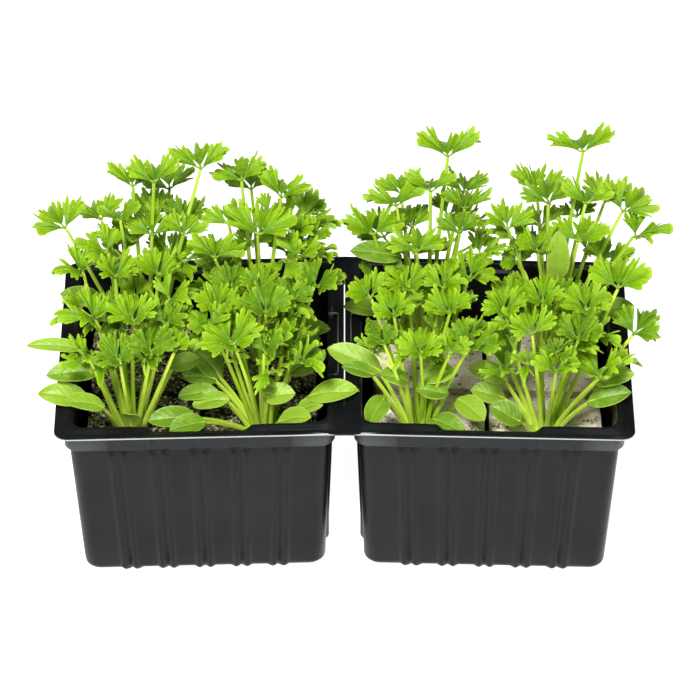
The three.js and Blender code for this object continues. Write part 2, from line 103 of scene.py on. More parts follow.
# Soil
BLOCK = 40
BLOCK_PLAY = 0.25  # room round a block
BLOCK_STEPS = 52  # squares along one side of a block's top
SOIL_Z = 47.5
SOIL_DIP = 0.5  # the crumbled surface lies this far under SOIL_Z
EDGE_DROP = 1.1  # and drops by this at a block's edge
BLOCK_X = 20.55  # a block's middle from its cell's
BLOCK_Y = {"front": -21.9, "back": 21.3}
BLOCK_FOOT = 1.5
# A block's sides from its crumbled edge down to its foot: height, and how far in.
BLOCK_LEVELS = [(45.1, 0), (42, 0.1), (32, 0.2), (22, 0.4), (12, 0.8), (6, 2), (BLOCK_FOOT, 5)]
GRAINS = 150  # loose grains on a block, at most
GRAIN_SEEDS = {"left": 41, "right": 42}
GRAIN_SPREAD = 0.46  # how far from a block's middle they lie, as a share of its side
CROWN_CLEAR = 4.5  # none lies nearer a crown's middle than this

# Parsley
CROWN_RADIUS = 4.8
CROWN_UP = 2.2  # height of the crown from its foot, which lies CROWN_SUNK under SOIL_Z
CROWN_SUNK = 0.9
CROWN_SHARE = 0.15  # how far towards its leaf each stem roots in the crown
SIDE_ROOT = 4.7  # seed leaves root this far from the crown's middle
SIDE_ANGLE = 68  # between the middle leaflet and each side leaflet, degrees
LOW_ANGLE = 125  # and the low pair that a bushy leaf has besides
LOW_SIZE = 0.68  # length of a low leaflet, as a share of the others
BUSHY_SHARE = 0.6
BUSHY_BEFORE = 6  # leaves in front of this are front leaves, and only they are bushy
STEEP_LIFT = 45  # a leaf lifted by this many degrees or more is flat; a level one is cupped
LEAFLET_SPREAD = 39  # half-angle of one leaflet, degrees
YOUNG_LENGTH = 6  # a leaflet shorter than this is still curled up
YOUNG = {"size": 1.15, "cup": 0.7, "curl": -0.3, "angle": 0.6}  # how one differs
FORK_BACK = 0.8  # the stem meets the leaf this far behind its fork
BLADE = 0.32  # thickness of a cut leaf
SEED_BLADE = 0.42  # and of a seed leaf
SEED_LEAN = 0.38  # a seed leaf's upper face leans this far to the front, radians
STEM_ARCH = {"large": 0.06, "small": -0.08, "seed": 0.1}  # as a share of the length
STEM_FLAT = 0.85
STEM_STEPS = 10  # points along the stem of a cut leaf
SEED_STEPS = 8  # and along a seed leaf's
BRANCH_STEP = 6  # the point of a large stem that smaller leaves branch from

# How a front leaf and a back leaf are bent: the range of their tips' curl, shares of the
# leaflets' cup, bank and lift, and the height of their waves.
STYLE_NAMES = ("curl", "cup", "bank", "lift", "ruffle", "fold")
LEAF_STYLES = {
    "front": dict(zip(STYLE_NAMES, ((0.05, 0.35), 1, 1, 1, 0.13, 0.16))),
    "back": dict(zip(STYLE_NAMES, ((0, 0.2), 0.62, 0.15, 0.45, 0.09, 0.1))),
}

# Seeds of the draws.
SOIL_SEED = 100
TUFT_SEED = 7
GROWTH_SEED = 900

# The smaller leaves of a row's tufts: how many, how far out, and their highest and lowest.
SMALL_LEAVES = {"front": (17, 18, 102, 86), "back": (14, 20, 106, 84)}

# Each tuft: the middle of its crown, its three-part leaves as (x, y, z of the fork, length
# of a leaflet, direction of the middle leaflet, its lift), and its simple seed leaves as
# (x, y, z of the blade's foot, x, y, z of its tip, width). Young leaves are still curled.
TUFTS = {}
TUFTS["left_front_outer"] = {
    "crown": (-74, -19.5),
    "leaves": [
        (-82, -4, 113, 10.5, 150, 16), (-91, -8, 108, 9, 180, 6),
        (-79, -14, 110, 10, 115, 19), (-64, -9, 107, 9.5, 115, 22),
        (-60, -19, 104, 10, 35, 14), (-86, -27, 102, 12, 172, 9),
        (-72, -31, 104, 10.5, 100, 24), (-61, -30, 102, 9.5, 60, 20),
        (-88, -38, 93, 8.5, 205, 8), (-66, -39, 97, 10, 100, 27),
        (-58, -37, 96, 8, 80, 27), (-77, -40, 94, 9.5, 125, 27),
    ],
    "young": [(-78, -23, 85, 5, 110, 75), (-69, -22, 81, 5, 60, 75)],
    "simple": [
        (-89, -24, 86, -109.5, -25, 88.5, 5.5), (-84, -26, 78, -103, -27, 77, 8.5),
        (-88, -31, 69, -106, -31, 72, 9), (-83, -33, 67.5, -96.5, -36, 73, 7.5),
        (-61, -14, 70, -50, -13, 73, 7), (-74, -30, 56, -74.5, -33.5, 65, 7),
    ],
}
TUFTS["left_back_outer"] = {
    "crown": (-70, 22),
    "leaves": [
        (-97, 10, 113, 12, 120, 0), (-74, 29, 117, 10.5, 100, -8),
        (-66, 19, 126, 11.5, 88, 2), (-78, 12, 115, 9, 115, -8),
        (-67, 15, 106, 11, 90, 13), (-56, 29, 102, 10, 70, 6),
        (-56, 14, 107, 9, 80, 10), (-50, 27, 126, 12.5, 92, 0),
        (-86, 35, 98, 10, 115, -6), (-62, 46, 103, 10.5, 95, 6),
    ],
    "simple": [(-84, 18, 72, -100, 13.5, 81, 8.5), (-76, 34, 68, -87.5, 45.5, 76, 8.5)],
}
TUFTS["left_back_inner"] = {
    "crown": (-29.5, 22),
    "leaves": [
        (-36, 31, 118, 11, 95, 10), (-22, 25, 115, 11.5, 85, -5),
        (-40, 17, 109, 10, 80, 16), (-30, 10, 110, 13, 80, 16),
        (-14, 32, 99, 11, 10, 6), (-15, 18, 100, 10.5, 30, 6),
        (-16, 6, 103, 11, 50, 7), (-45, 6, 103, 11, 95, 11),
        (-33, 46, 103, 10.5, 95, 6), (-15, 45, 94, 9.5, 50, 6),
    ],
    "simple": [
        (-21, 15, 62, -5, 10.5, 67.5, 8), (-19, 6, 63, -8.5, 8, 65.5, 8.5),
        (-39, 34, 68, -47, 47.5, 76, 8.5),
    ],
}
TUFTS["left_front_inner"] = {
    "crown": (-28.5, -20),
    "leaves": [
        (-39, -8, 101, 9, 85, 24), (-29, -11, 102, 9, 70, 20),
        (-43, -22, 101, 10, 95, 20), (-10, -9, 102, 11, 30, 14),
        (-18, -18, 102, 9, 80, 17), (-27, -25, 103, 11, 85, 24),
        (-46, -29, 100, 9.5, 125, 20), (-38, -35, 97, 12.5, 128, 27),
        (-27, -37, 95, 12.5, 48, 24),
    ],
    "young": [(-38, -28, 85, 5, 110, 75), (-18, -26, 85, 5, 60, 75)],
    "simple": [
        (-51, -31, 61, -68, -33.5, 62, 9), (-48, -34, 62, -60.5, -39.5, 62.5, 8),
        (-40, -23, 63, -53, -22, 59.5, 7.5), (-43.5, -10, 62, -54.5, -2, 71.5, 10.5),
        (-44, -19, 63, -58, -17, 59.5, 7), (-44.5, -12, 63, -56.5, -12, 64.5, 8),
        (-13, -25, 65.5, 5, -29.5, 72, 9.5), (-17, -28, 62, -7.5, -31, 67, 7.5),
        (-23, -33, 61, -11.5, -39, 68, 8.5), (-20, -12, 65, -6.5, -5, 69.5, 10.5),
        (-28, -30, 69.5, -17, -31, 72, 8.5), (-23.5, -29, 73, -31, -29.5, 74.5, 6),
    ],
}
TUFTS["right_back_inner"] = {
    "crown": (29.5, 22),
    "leaves": [
        (36, 30, 129, 12.5, 90, -5), (30, 23, 119, 11, 90, -8),
        (42, 21, 113, 10, 85, -8), (18, 20, 115, 12, 100, -4),
        (10, 14, 107, 12.5, 110, 19), (24, 29, 99, 8.5, 100, 6),
        (40, 10, 111, 9, 90, 13), (25, 7, 105, 10.5, 90, 13),
        (20, 45, 102, 10.5, 95, 6), (42, 44, 103, 10, 80, 6),
    ],
    "simple": [(20, 14, 97, 2, 11.5, 101.5, 8.5), (13, 15, 72, -0.5, 11.5, 76.5, 7.5)],
}
TUFTS["right_back_outer"] = {
    "crown": (73, 22),
    "leaves": [
        (83, 30, 131, 13.5, 90, -10), (71, 23, 114, 11, 90, 6),
        (84, 20, 116, 11, 80, 2), (97, 18, 114, 11.5, 60, 8),
        (101, 10, 109, 11, 15, 6), (81, 6, 110, 12, 70, 16),
        (57, 16, 108, 10, 100, 13), (67, 5, 106, 10, 90, 13),
        (92, 37, 104, 10.5, 60, 6), (68, 45, 103, 10.5, 95, 6),
    ],
    "simple": [(74, 4, 94, 74, 5, 115.5, 8), (86, 15, 70, 102, 11.5, 77, 8.5)],
}
TUFTS["right_front_inner"] = {
    "crown": (26.5, -20),
    "leaves": [
        (43, -7, 104, 10.5, 65, 24), (22, -11, 103, 10, 115, 24),
        (34, -14, 105, 9.5, 70, 24), (9, -13, 100, 10, 120, 20),
        (17, -25, 102, 9.5, 95, 24), (36, -25, 103, 10, 90, 20),
        (13, -35, 98, 7.5, 125, 17), (26, -38, 95, 10, 88, 27),
        (36, -36, 94, 8.5, 75, 20), (43, -32, 94, 11, 65, 24),
    ],
    "young": [(33, -27, 80, 5, 80, 75)],
    "simple": [
        (13, -14, 68, -6, -9.5, 75, 9.5), (10.5, -17, 69, -1, -17.5, 73, 6.5),
        (14, -27, 67.5, 8, -38.5, 64.5, 8), (30, -30, 60, 41.5, -39, 61, 8.5),
        (36, -31, 72, 24.5, -32, 74.5, 8.5), (22, -27, 74, 12.5, -28.5, 78.5, 8.5),
        (27, -27, 76, 38, -27.5, 79, 9), (39.5, -22.5, 63, 48.5, -33, 61.5, 9),
    ],
}
TUFTS["right_front_outer"] = {
    "crown": (70, -19.5),
    "leaves": [
        (94, -15, 106, 12.5, 80, 17), (83, -20, 100, 10.5, 90, 24),
        (55, -21, 100, 9.5, 108, 27), (68, -18, 102, 10, 85, 24),
        (64, -33, 100, 9.5, 100, 20), (80, -33, 98, 10.5, 75, 24),
        (72, -41, 90, 10, 95, 20), (88, -34, 82, 12.5, 50, 20),
        (100, -18, 88, 12, 50, 14),
    ],
    "young": [(65, -28, 84, 5, 110, 75), (77, -26, 81, 5, 60, 75)],
    "simple": [
        (61.5, -28, 56.5, 50.5, -25.5, 62, 9), (57, -13, 63, 43.5, -9.5, 66.5, 8.5),
        (56, -17, 58.5, 44, -16, 61.5, 8.5), (57, -11, 68, 57, -4, 88.5, 9),
        (84, -30, 67, 99, -31, 72.5, 9), (86, -26, 73, 100, -27, 77.5, 8.5),
        (84, -9, 84, 93, -2, 91, 8.5),
    ],
}

# Where the pack's own origin is in the frame.
pot_low, pot_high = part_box("double_pot")
PACK_ORIGIN = np.array([(pot_low.x + pot_high.x) / 2, (pot_low.y + pot_high.y) / 2, 0])
PACK_ORIGIN[1] -= BOW * (CELL + CORNER_RADIUS) / 2 * MM


def mix(a, b, share):
    return a + (b - a) * share


def smooth_step(t):
    t = min(max(t, 0), 1)
    return t * t * (3 - 2 * t)


def unit(v):
    return v / np.linalg.norm(v)


MASK = 0xFFFFFFFF  # the draws work in 32 bits


def dice(seed):
    """A repeatable draw, the same one that places the solids' leaves."""
    state = seed & MASK

    def roll(low=0.0, high=1.0):
        nonlocal state
        state = (state + 0x6D2B79F5) & MASK
        t = ((state ^ (state >> 15)) * (state | 1)) & MASK
        t = (t ^ (t + ((t ^ (t >> 7)) * (t | 61)))) & MASK
        return mix(low, high, ((t ^ (t >> 14)) & MASK) / (MASK + 1))

    return roll


class Shell:
    """Gathers closed bodies into one mesh, with four marks at each point for its material:
    on a leaf or a stem the places across and along it, its tone and its upper side, and on
    the pack the flange's cut edge, which gets a painted highlight, and the parts of the collar
    that get a painted sheen."""

    def __init__(self):
        self.points = []
        self.marks = []
        self.faces = []
        self.count = 0

    def add(self, points, faces, marks=None, tone=0):
        points = np.asarray(points, float).reshape(-1, 3)
        if marks is None:
            marks = np.tile([0, 0, tone, 0], (len(points), 1))
        self.points.append(points)
        self.marks.append(np.asarray(marks, float).reshape(-1, 4))
        self.faces.extend(tuple(i + self.count for i in face) for face in faces)
        self.count += len(points)

    def make(self, name, material, smooth_angle=40):
        data = bpy.data.meshes.new(name)
        points = np.concatenate(self.points) * MM + PACK_ORIGIN
        data.from_pydata(points.tolist(), [], self.faces)
        marks = data.attributes.new("marks", "FLOAT_COLOR", "POINT")
        marks.data.foreach_set("color", np.concatenate(self.marks).astype(np.float32).ravel())
        data.shade_smooth()
        data.set_sharp_from_angle(angle=math.radians(smooth_angle))
        data.materials.append(material)
        made = bpy.data.objects.new(name, data)
        bpy.context.scene.collection.objects.link(made)
        return made


def settle(piece, slot, *nodes):
    """Every piece rides with the pack and stands for nodes, whose parts it hides; its slot is not
    used.
    """
    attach(piece, "root")
    if nodes:
        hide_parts(*nodes)


# ---- shapes


def ring_faces(rings, n):
    """Faces of a closed body of rings of n points, anticlockwise seen from the last ring."""
    faces = []
    for low in range(0, (rings - 1) * n, n):
        for i in range(n):
            j = (i + 1) % n
            faces.append((low + i, low + j, low + n + j, low + n + i))
    faces.append(tuple(range(n - 1, -1, -1)))
    faces.append(tuple(range((rings - 1) * n, rings * n)))
    return faces


def border(rows, columns):
    """The outermost points of a grid of rows by columns points, in order round it."""
    loop = list(range(columns))
    loop += [r * columns + columns - 1 for r in range(1, rows)]
    loop += [(rows - 1) * columns + c for c in range(columns - 2, -1, -1)]
    loop += [r * columns for r in range(rows - 2, 0, -1)]
    return loop


def grid_faces(rows, columns):
    """The squares of a grid of rows by columns points."""
    firsts = [r * columns + c for r in range(rows - 1) for c in range(columns - 1)]
    return [(a, a + 1, a + columns + 1, a + columns) for a in firsts]


@functools.cache
def thin_faces(rows, columns):
    """Faces of a closed thin sheet of two such grids, the upper side's points first."""
    lower = rows * columns
    faces = []
    for a, b, c, d in grid_faces(rows, columns):
        faces += [(a, b, c, d), (lower + a, lower + d, lower + c, lower + b)]
    loop = border(rows, columns)
    for a, b in zip(loop, loop[1:] + loop[:1]):
        faces.append((a, lower + a, lower + b, b))
    return faces


def thin_sheet(shell, grid, thickness, across, along, tone):
    """Adds a closed thin body round a grid of points, with its marks."""
    normal = np.cross(np.gradient(grid, axis=1), np.gradient(grid, axis=0))
    normal /= np.linalg.norm(normal, axis=2, keepdims=True) + 1e-9
    half = normal * (thickness / 2)[..., None]
    both = np.stack([grid + half, grid - half])
    marks = np.zeros((*both.shape[:3], 4))
    for k, mark in enumerate((across, along, tone)):
        marks[..., k] = mark
    marks[0, ..., 3] = 1
    shell.add(both, thin_faces(*grid.shape[:2]), marks)


def tube(shell, line, radii, tone, sides=7, flat=1.0):
    """Adds a closed tube along a line of points, squeezed to `flat` across its second axis."""
    line = np.asarray(line, float)
    tangents = np.gradient(line, axis=0)
    tangents /= np.linalg.norm(tangents, axis=1, keepdims=True)
    side = unit(np.cross(tangents[0], [0.31, 0.95, 0.05]))
    rings = []
    for centre, along, radius in zip(line, tangents, radii):
        side = unit(side - along * side.dot(along))
        other = np.cross(along, side)
        for i in range(sides):
            a = 2 * math.pi * i / sides
            rings.append(centre + radius * (side * math.cos(a) + other * math.sin(a) * flat))
    marks = np.zeros((len(rings), 4))
    marks[:, 1] = np.repeat(np.linspace(0, 1, len(line)), sides)
    marks[:, 2] = tone
    shell.add(rings, ring_faces(len(line), sides), marks)


def pointing(face, tilt):
    """The line that a leaf faces along, tilted up, both in degrees."""
    flat = math.cos(math.radians(tilt))
    a = math.radians(face)
    return np.array([flat * math.cos(a), flat * math.sin(a), math.sin(math.radians(tilt))])


def blade_frame(ahead, roll):
    """Right and up of a blade that points ahead and is rolled about that line."""
    right = unit(np.cross(ahead, [0, 0, 1]))
    up = np.cross(right, ahead)
    c, s = math.cos(roll), math.sin(roll)
    return right * c - up * s, up * c + right * s


# ---- parsley

# One leaflet's teeth: where each begins as a share of the half-angle, its reach as a share
# of the length, and how deep the leaflet is cut before it.
TEETH = [
    (-1.0, 0.77, 0.5), (-0.7, 0.9, 0.7), (-0.41, 0.93, 0.48), (-0.14, 1.04, 0.82),
    (0.14, 0.95, 0.82), (0.41, 0.9, 0.48), (0.7, 0.76, 0.7),
]
LAST_CUT = 0.5
LOBE_OF_TOOTH = [0, 0, 1, 1, 1, 2, 2]
LOBE_MIDDLES = (-0.7, 0, 0.7)
LOBE_HALF = 0.36
TOOTH_STEPS = (-1, -0.88, -0.6, -0.2, 0.2, 0.6, 0.88)
TOOTH_BLUNTNESS = 2.8
LEAF_RINGS = np.array([0, 0.3, 0.58, 0.82, 1.0])
LEAF_NECK = 0.06  # radius of a leaflet's foot, as a share of its length


def leaflet_stations():
    """Places round a leaflet's edge, as five arrays: share of the half-angle, reach, depth
    of the cut, place in the tooth and the tooth's number."""
    stations = []
    ends = [t[0] for t in TEETH[1:]] + [1.0]
    cuts = [t[2] for t in TEETH[1:]] + [LAST_CUT]
    for k, (start, reach, cut) in enumerate(TEETH):
        for t in TOOTH_STEPS:
            bottom = cut if t < 0 else cuts[k]
            depth = (reach - bottom) * abs(t) ** TOOTH_BLUNTNESS
            stations.append((mix(start, ends[k], (t + 1) / 2), reach, depth, t, k))
    stations.append((1.0, TEETH[-1][1], TEETH[-1][1] - LAST_CUT, 1, len(TEETH) - 1))
    return np.array(stations).T


STATIONS = leaflet_stations()
# Where each station lies across its lobe, from -1 to 1.
LOBE_PLACE = np.array(
    [share - LOBE_MIDDLES[LOBE_OF_TOOTH[int(tooth)]] for share, tooth in STATIONS[[0, 4]].T]
) / LOBE_HALF


def leaflet(shell, heart, axes, length, angle, form, tone, roll):
    """Adds one fan-shaped cut leaflet and returns the line of its stalk and midrib."""
    right, ahead, up = axes
    share, reach, depth, place, tooth = STATIONS
    spread = math.radians(LEAFLET_SPREAD * roll(0.88, 1.12))
    turn = math.radians(angle)
    lobe_lift = [roll(0.05, 0.4), roll(-0.3, 0.05), roll(0.05, 0.4)]
    lifts = np.array([lobe_lift[lobe] + roll(-0.14, 0.14) for lobe in LOBE_OF_TOOTH])
    lifts *= form["lift"]
    stretch = np.array([roll(0.93, 1.05) for _ in TEETH])
    index = tooth.astype(int)
    lift, long = lifts[index], stretch[index]
    # Two teeth share the cut between them.
    starts = np.nonzero(place == -1)[0][1:]
    lift[starts] = (lift[starts] + lifts[index[starts] - 1]) / 2
    long[starts] = (long[starts] + stretch[index[starts] - 1]) / 2
    out = (reach * long - depth * form["cut"]) * length
    neck = LEAF_NECK * length
    radius = neck + (out - neck)[None, :] * LEAF_RINGS[:, None]
    rho = radius / length
    theta = spread * share * (0.74 + 0.3 * rho)  # its sides bend out towards the tip
    # Broad and fine waves, each tooth's lift and blunt sides, and folds between the lobes.
    wave = (
        0.13 * np.sin(2.1 * math.pi * share + roll(0, 6.3)) * rho**2
        + form["ruffle"] * np.sin(4.3 * math.pi * share + roll(0, 6.3)) * rho**3
        + lift * rho**3
        - 0.07 * place**2 * rho**3
        + form["fold"] * LOBE_PLACE**2 * rho**2
    )
    rise = (form["cup"] * rho - form["curl"] * rho**3 + wave) * length
    bank = form["bank"] * np.sin(theta) * radius
    # The blade lies round its own midrib, which is turned in the plane of the leaf.
    steep = math.atan(form["cup"])
    shrink = math.cos(steep)
    along = radius * np.cos(theta) * shrink
    across = radius * np.sin(theta)
    height = rise * shrink + bank
    c, s = math.cos(turn), math.sin(turn)
    start = form["stalk"] * length
    x = (start + along) * s + across * c
    y = (start + along) * c - across * s
    z = height + start * form["cup"] * 0.7
    grid = heart + x[..., None] * right + y[..., None] * ahead + z[..., None] * up
    thin_sheet(shell, grid, BLADE * (1.1 - 0.45 * rho), place, LEAF_RINGS[:, None], tone)
    middle = grid[:3, grid.shape[1] // 2]
    return np.concatenate([[heart - ahead * FORK_BACK, heart - up * 0.2], middle - up * 0.4])


def three_part_leaf(leaves, leaf, tilt_roll, roll):
    """Adds a leaf of three cut leaflets, or of five if it is bushy, and returns the point
    where its stem ends."""
    x, y, z, length, face, tilt = leaf
    heart = np.array([x, y, z], float)
    ahead = pointing(face, tilt)
    right, up = blade_frame(ahead, tilt_roll)
    young = length < YOUNG_LENGTH
    front = y < BUSHY_BEFORE
    style = LEAF_STYLES["front" if front else "back"]
    tone = roll()
    curl = roll(*style["curl"])
    cut = roll(0.65, 1.1)
    flatness = min(max(tilt / STEEP_LIFT, 0), 1)
    # Each leaflet: its side, its angle and its share of the length.
    parts = [(-1, SIDE_ANGLE, 1.0), (0, 0, 1.05), (1, SIDE_ANGLE, 1.0)]
    if not young and front and roll() < BUSHY_SHARE:
        parts += [(-1, LOW_ANGLE, LOW_SIZE), (1, LOW_ANGLE, LOW_SIZE)]
    for side, angle, share in parts:
        size = length * share * (YOUNG["size"] if young else 1) * roll(0.94, 1.06)
        low = angle == LOW_ANGLE
        cup = mix(0.95, 0.45, flatness) * style["cup"]
        cup += roll(-0.15, 0.15) + 0.6 * low
        bank = (mix(0.45, 0.2, flatness) + roll(-0.1, 0.1)) * style["bank"]
        form = {
            **style,
            "cup": cup if side else roll(-0.2, 0.2),
            "bank": -side * bank * (not low),
            "curl": curl - 0.2 * low,
            "cut": cut,
            "stalk": roll(0.04, 0.1) if side else roll(0.08, 0.16),
        }
        if young:
            form["cup"] += YOUNG["cup"]
            form["curl"] = YOUNG["curl"]
            angle *= YOUNG["angle"]
        turn = side * angle + roll(-6, 6)
        line = leaflet(leaves, heart, (right, ahead, up), size, turn, form, tone, roll)
        tube(leaves, line, [0.5, 0.45, 0.38, 0.28, 0.15], tone, sides=5)
    return heart - ahead * FORK_BACK


def stem_line(start, end, arch, sway, steps=STEM_STEPS):
    """The solids' stem line, with a slight sway of its own."""
    start, end = np.array(start, float), np.array(end, float)
    bend = (start + end) / 2 + [0, 0, arch * np.linalg.norm(end - start)]
    t = np.linspace(0, 1, steps)[:, None]
    line = start * (1 - t) ** 2 + bend * 2 * t * (1 - t) + end * t**2
    return line + np.sin(math.pi * t) * sway


def seed_leaf(leaves, stems, spec, crown, roll):
    """Adds a simple seed leaf: an arched oval blade folded along its midrib, on a stalk."""
    x, y, z, tip_x, tip_y, tip_z, width = spec
    foot = np.array([x, y, z], float)
    tip = np.array([tip_x, tip_y, tip_z], float)
    length = np.linalg.norm(tip - foot)
    ahead = (tip - foot) / length
    right, up = blade_frame(ahead, SEED_LEAN * ahead[0] + roll(-0.12, 0.12))
    rows, columns = 15, 11
    u = np.linspace(0, 1, rows)[:, None]
    v = np.linspace(-1, 1, columns)[None, :]
    oval = 1 - abs(2 * np.clip((u - 0.04) / 0.96, 0, 1) ** 0.92 - 1) ** 2.3
    outline = 0.97 * np.clip(oval, 0, 1) ** 0.75 + 0.14 * (1 - u) ** 4 + 0.02
    fold = roll(0.06, 0.14)
    wave = roll(-0.05, 0.05)
    side = width / 2 * outline * v
    # Arched along, folded and waved across, with a groove for the midrib.
    rise = (
        length * 0.3 * u * (1 - u)
        + width * fold * abs(v) ** 1.4 * outline
        + width * wave * np.sin(6 * u + 2 * v)
        - width * 0.05 * np.exp(-((v / 0.12) ** 2)) * outline
    )
    grid = (
        foot
        + (u * length * np.ones_like(v))[..., None] * ahead
        + side[..., None] * right
        + rise[..., None] * up
    )
    tone = roll()
    thin_sheet(leaves, grid, SEED_BLADE * (1 - 0.35 * abs(v)) * np.ones_like(u), v, u, tone)
    cx, cy = crown
    share = SIDE_ROOT / math.hypot(x - cx, y - cy)
    start = (mix(cx, x, share), mix(cy, y, share), SOIL_Z + 0.2)
    sway = right * roll(-0.5, 0.5)
    line = stem_line(start, foot + ahead * 1.2, STEM_ARCH["seed"], sway, SEED_STEPS)
    rib = grid[2:8, columns // 2] - up * 0.2
    line = np.concatenate([line, rib])
    radii = np.concatenate([np.linspace(0.95, 0.8, SEED_STEPS), np.linspace(0.6, 0.2, len(rib))])
    tube(stems, line, radii, 0.55 + 0.3 * tone, sides=6, flat=0.75)


def crown_mound(stems, crown, roll):
    """Adds the low fleshy crown that a tuft's stems grow from."""
    cx, cy = crown
    rings, sides = 5, 16
    points = []
    for r in range(rings):
        a = (r + 0.5) / rings * math.pi / 2
        for i in range(sides):
            b = 2 * math.pi * i / sides
            lobes = 1 + 0.12 * math.sin(3 * b + 1) + roll(-0.06, 0.06)
            radius = CROWN_RADIUS * math.cos(a) * lobes
            height = SOIL_Z - CROWN_SUNK + CROWN_UP * math.sin(a) * (1 + roll(-0.1, 0.1))
            points.append((cx + radius * math.cos(b), cy + radius * math.sin(b), height))
    stems.add(points, ring_faces(rings, sides), tone=0.3)


def small_leaves(place, crown, roll):
    """The smaller leaves that fill a tuft between its large ones."""
    count, reach_out, high, low = SMALL_LEAVES[place.split("_")[1]]
    made = []
    for k in range(count):
        a = 2 * math.pi * (k + roll()) / count
        reach = reach_out * math.sqrt(roll(0.05, 1))
        x = crown[0] + reach * math.cos(a)
        y = crown[1] + reach * math.sin(a)
        z = roll(low, high) - 0.3 * reach
        face = math.degrees(a) + roll(-50, 50)
        made.append((x, y, z, roll(6.5, 10), face, roll(0, 35)))
    return made


# A large stem thins towards its leaf and swells at its foot.
STEM_RADII = [
    mix(0.95, 0.56, t) + 0.25 * max(0, 1 - 4 * t) for t in np.linspace(0, 1, STEM_STEPS)
]


def tuft(place, spec, seed):
    """One plant: a piece of cut leaves, one of seed leaves and one of stems and crown."""
    placing = dice(seed)
    roll = dice(seed + GROWTH_SEED)
    leaves, seeds, stems = Shell(), Shell(), Shell()
    cx, cy = spec["crown"]
    crown_mound(stems, spec["crown"], roll)
    grown = []
    for leaf in spec["leaves"]:
        x, y = leaf[:2]
        end = three_part_leaf(leaves, leaf, (placing() - 0.5) * 0.5, roll)
        start = (mix(cx, x, CROWN_SHARE), mix(cy, y, CROWN_SHARE), SOIL_Z - 0.6)
        sway = np.array([roll(-1, 1), roll(-1, 1), 0]) * 0.8
        line = stem_line(start, end, STEM_ARCH["large"], sway)
        tube(stems, line, STEM_RADII, roll(), flat=STEM_FLAT)
        grown.append(line)
    for leaf in spec.get("young", []) + small_leaves(place, spec["crown"], roll):
        end = three_part_leaf(leaves, leaf, roll(-0.3, 0.3), roll)
        # A smaller leaf branches off the nearest large stem.
        joints = np.array([line[BRANCH_STEP] for line in grown])
        start = joints[np.argmin(np.linalg.norm(joints - end, axis=1))]
        sway = np.array([roll(-0.5, 0.5), roll(-0.5, 0.5), 0])
        line = stem_line(start, end, STEM_ARCH["small"], sway)
        tube(stems, line, np.linspace(0.62, 0.42, STEM_STEPS), roll(), flat=STEM_FLAT)
    for leaf in spec["simple"]:
        seed_leaf(seeds, stems, leaf, spec["crown"], roll)
    shells = {"leaves": (leaves, LEAF), "seed_leaves": (seeds, SEED_LEAF), "stems": (stems, STEM)}
    for name, (shell, look) in shells.items():
        settle(shell.make(f"{name}_{place}", look, 50), "parsley_green", f"parsley_{place}")


# ---- soil

SOIL_SLOTS = {"left": "soil_dark", "right": "soil_sandy"}


def bowed(points):
    """Points moved back towards the web with the slight bow that the pack has in plan."""
    points = np.array(points, float)
    points[:, 1] += BOW * (CELL - abs(points[:, 0]))
    return points


def soil_height(x, y, seed):
    """Height of the crumbly top of a block of pressed soil."""
    p = Vector((x + 131 * seed, y, 0))
    lumps = noise.noise(p * 0.16) * 0.55
    crumbs = noise.noise(p * 0.55) * 0.45
    pits = -max(0, noise.noise(p * 0.8 + Vector((7, 3, 9))) - 0.25) * 2.2
    return SOIL_Z - SOIL_DIP + (lumps + crumbs + pits) * 0.8


def soil_block(place, x, y, seed):
    """A pressed block with a crumbled top, rough sides and a tapered foot."""
    half = BLOCK / 2 - BLOCK_PLAY
    n = BLOCK_STEPS + 1
    points = []
    for j in range(n):
        for i in range(n):
            u = 2 * i / BLOCK_STEPS - 1
            v = 2 * j / BLOCK_STEPS - 1
            # The square's corners are drawn in to a radius.
            pull = 1 - 0.045 * (u * u * v * v) ** 1.5
            px, py = x + half * u * pull, y + half * v * pull
            edge = max(abs(u), abs(v))
            top = soil_height(px, py, seed) - EDGE_DROP * smooth_step((edge - 0.9) / 0.1)
            points.append((px, py, top))
    faces = grid_faces(n, n)
    # The sides go down from the top's edge.
    loop = border(n, n)
    above = loop
    for z, inset in BLOCK_LEVELS:
        ring = []
        for k in loop:
            px, py, _ = points[k]
            rough = noise.noise(Vector((px, py, z + 99)) * 0.3)
            shrink = 1 - (inset + 0.5 + 0.5 * rough) / half
            if z > BLOCK_FOOT:
                shrink += 0.35 * noise.noise(Vector((px, py + 50, z)) * 0.5) / half
            ring.append(len(points))
            points.append((x + (px - x) * shrink, y + (py - y) * shrink, z))
        for a, b, c, d in zip(above, above[1:] + above[:1], ring[1:] + ring[:1], ring):
            faces.append((b, a, d, c))
        above = ring
    faces.append(tuple(reversed(above)))
    shell = Shell()
    shell.add(bowed(points), faces)
    side = place.split("_")[0]
    made = shell.make(f"soil_{place}", SOIL[side], 80)
    settle(made, SOIL_SLOTS[side], f"soil_block_{place}")


